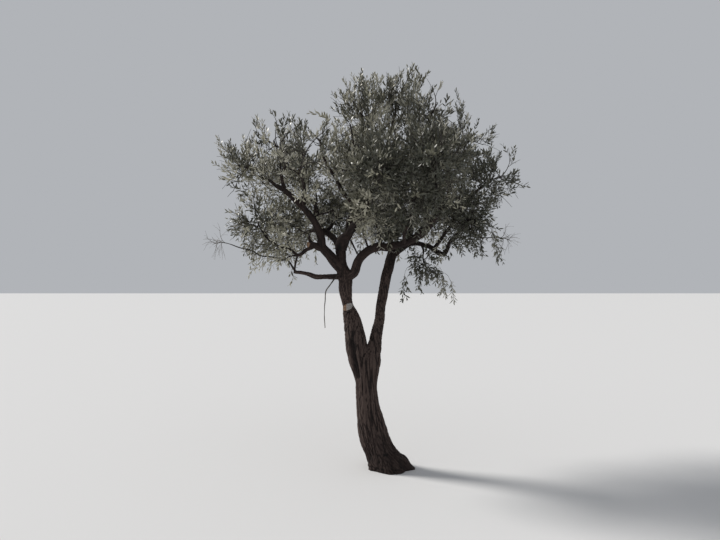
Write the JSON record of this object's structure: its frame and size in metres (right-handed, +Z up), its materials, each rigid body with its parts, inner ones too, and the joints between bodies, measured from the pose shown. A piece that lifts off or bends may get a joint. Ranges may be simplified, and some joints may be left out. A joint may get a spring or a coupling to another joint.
{
  "type": "olive tree",
  "caption": "Old free-standing olive tree with a leaning flared trunk that forks low, an arching bough, and a broad open crown of grey-green sprays.",
  "frame": {"origin": "foot of the trunk, in its flat cut at ground level", "axes": "+Z up; +X to the tree's right as seen from the front; +Y away from the front"},
  "size_m": [4.1048, 3.6379, 5.3547],
  "materials": {
    "bark": "rough fissured bark",
    "dead_wood": "dry and bare",
    "dead_twigs": "dry and bare",
    "foliage": "satin leaves, silvery underneath"
  },
  "bodies": {
    "root": {"trunk": "bark", "left_stem": "bark", "right_stem": "bark", "left_bough": "bark", "low_left_limb": "bark", "cut_stub": "bark", "arch_foot": "bark", "arch_bough": "bark", "right_bough": "bark", "elbow_limb": "bark", "top_left_bough": "bark", "left_back_bough": "bark", "back_centre_bough": "bark", "far_left_bough": "bark", "left_top_bough": "bark", "left_low_bough": "bark", "left_front_bough": "bark", "left_middle_bough": "bark", "inner_top_bough": "bark", "top_bough": "bark", "centre_front_bough": "bark", "right_front_bough": "bark", "front_low_bough": "bark", "centre_low_bough": "bark", "top_right_bough": "bark", "right_top_bough": "bark", "right_outer_bough": "bark", "core_bough": "bark", "back_right_bough": "bark", "back_low_right_bough": "bark", "back_low_left_bough": "bark", "right_low_bough": "bark", "hanging_bough": "bark", "dry_right_bough": "dead_wood", "dry_left_bough": "dead_wood", "top_left_foliage": "foliage", "left_back_foliage": "foliage", "back_centre_foliage": "foliage", "far_left_foliage": "foliage", "left_top_foliage": "foliage", "left_low_foliage": "foliage", "left_front_foliage": "foliage", "left_middle_foliage": "foliage", "inner_top_foliage": "foliage", "top_foliage": "foliage", "centre_front_foliage": "foliage", "right_front_foliage": "foliage", "front_low_foliage": "foliage", "centre_low_foliage": "foliage", "top_right_foliage": "foliage", "right_top_foliage": "foliage", "right_outer_foliage": "foliage", "core_foliage": "foliage", "back_right_foliage": "foliage", "back_low_right_foliage": "foliage", "back_low_left_foliage": "foliage", "right_low_foliage": "foliage", "hanging_foliage": "foliage", "dry_right_twigs": "dead_twigs", "dry_left_twigs": "dead_twigs"}
  },
  "joints": []
}
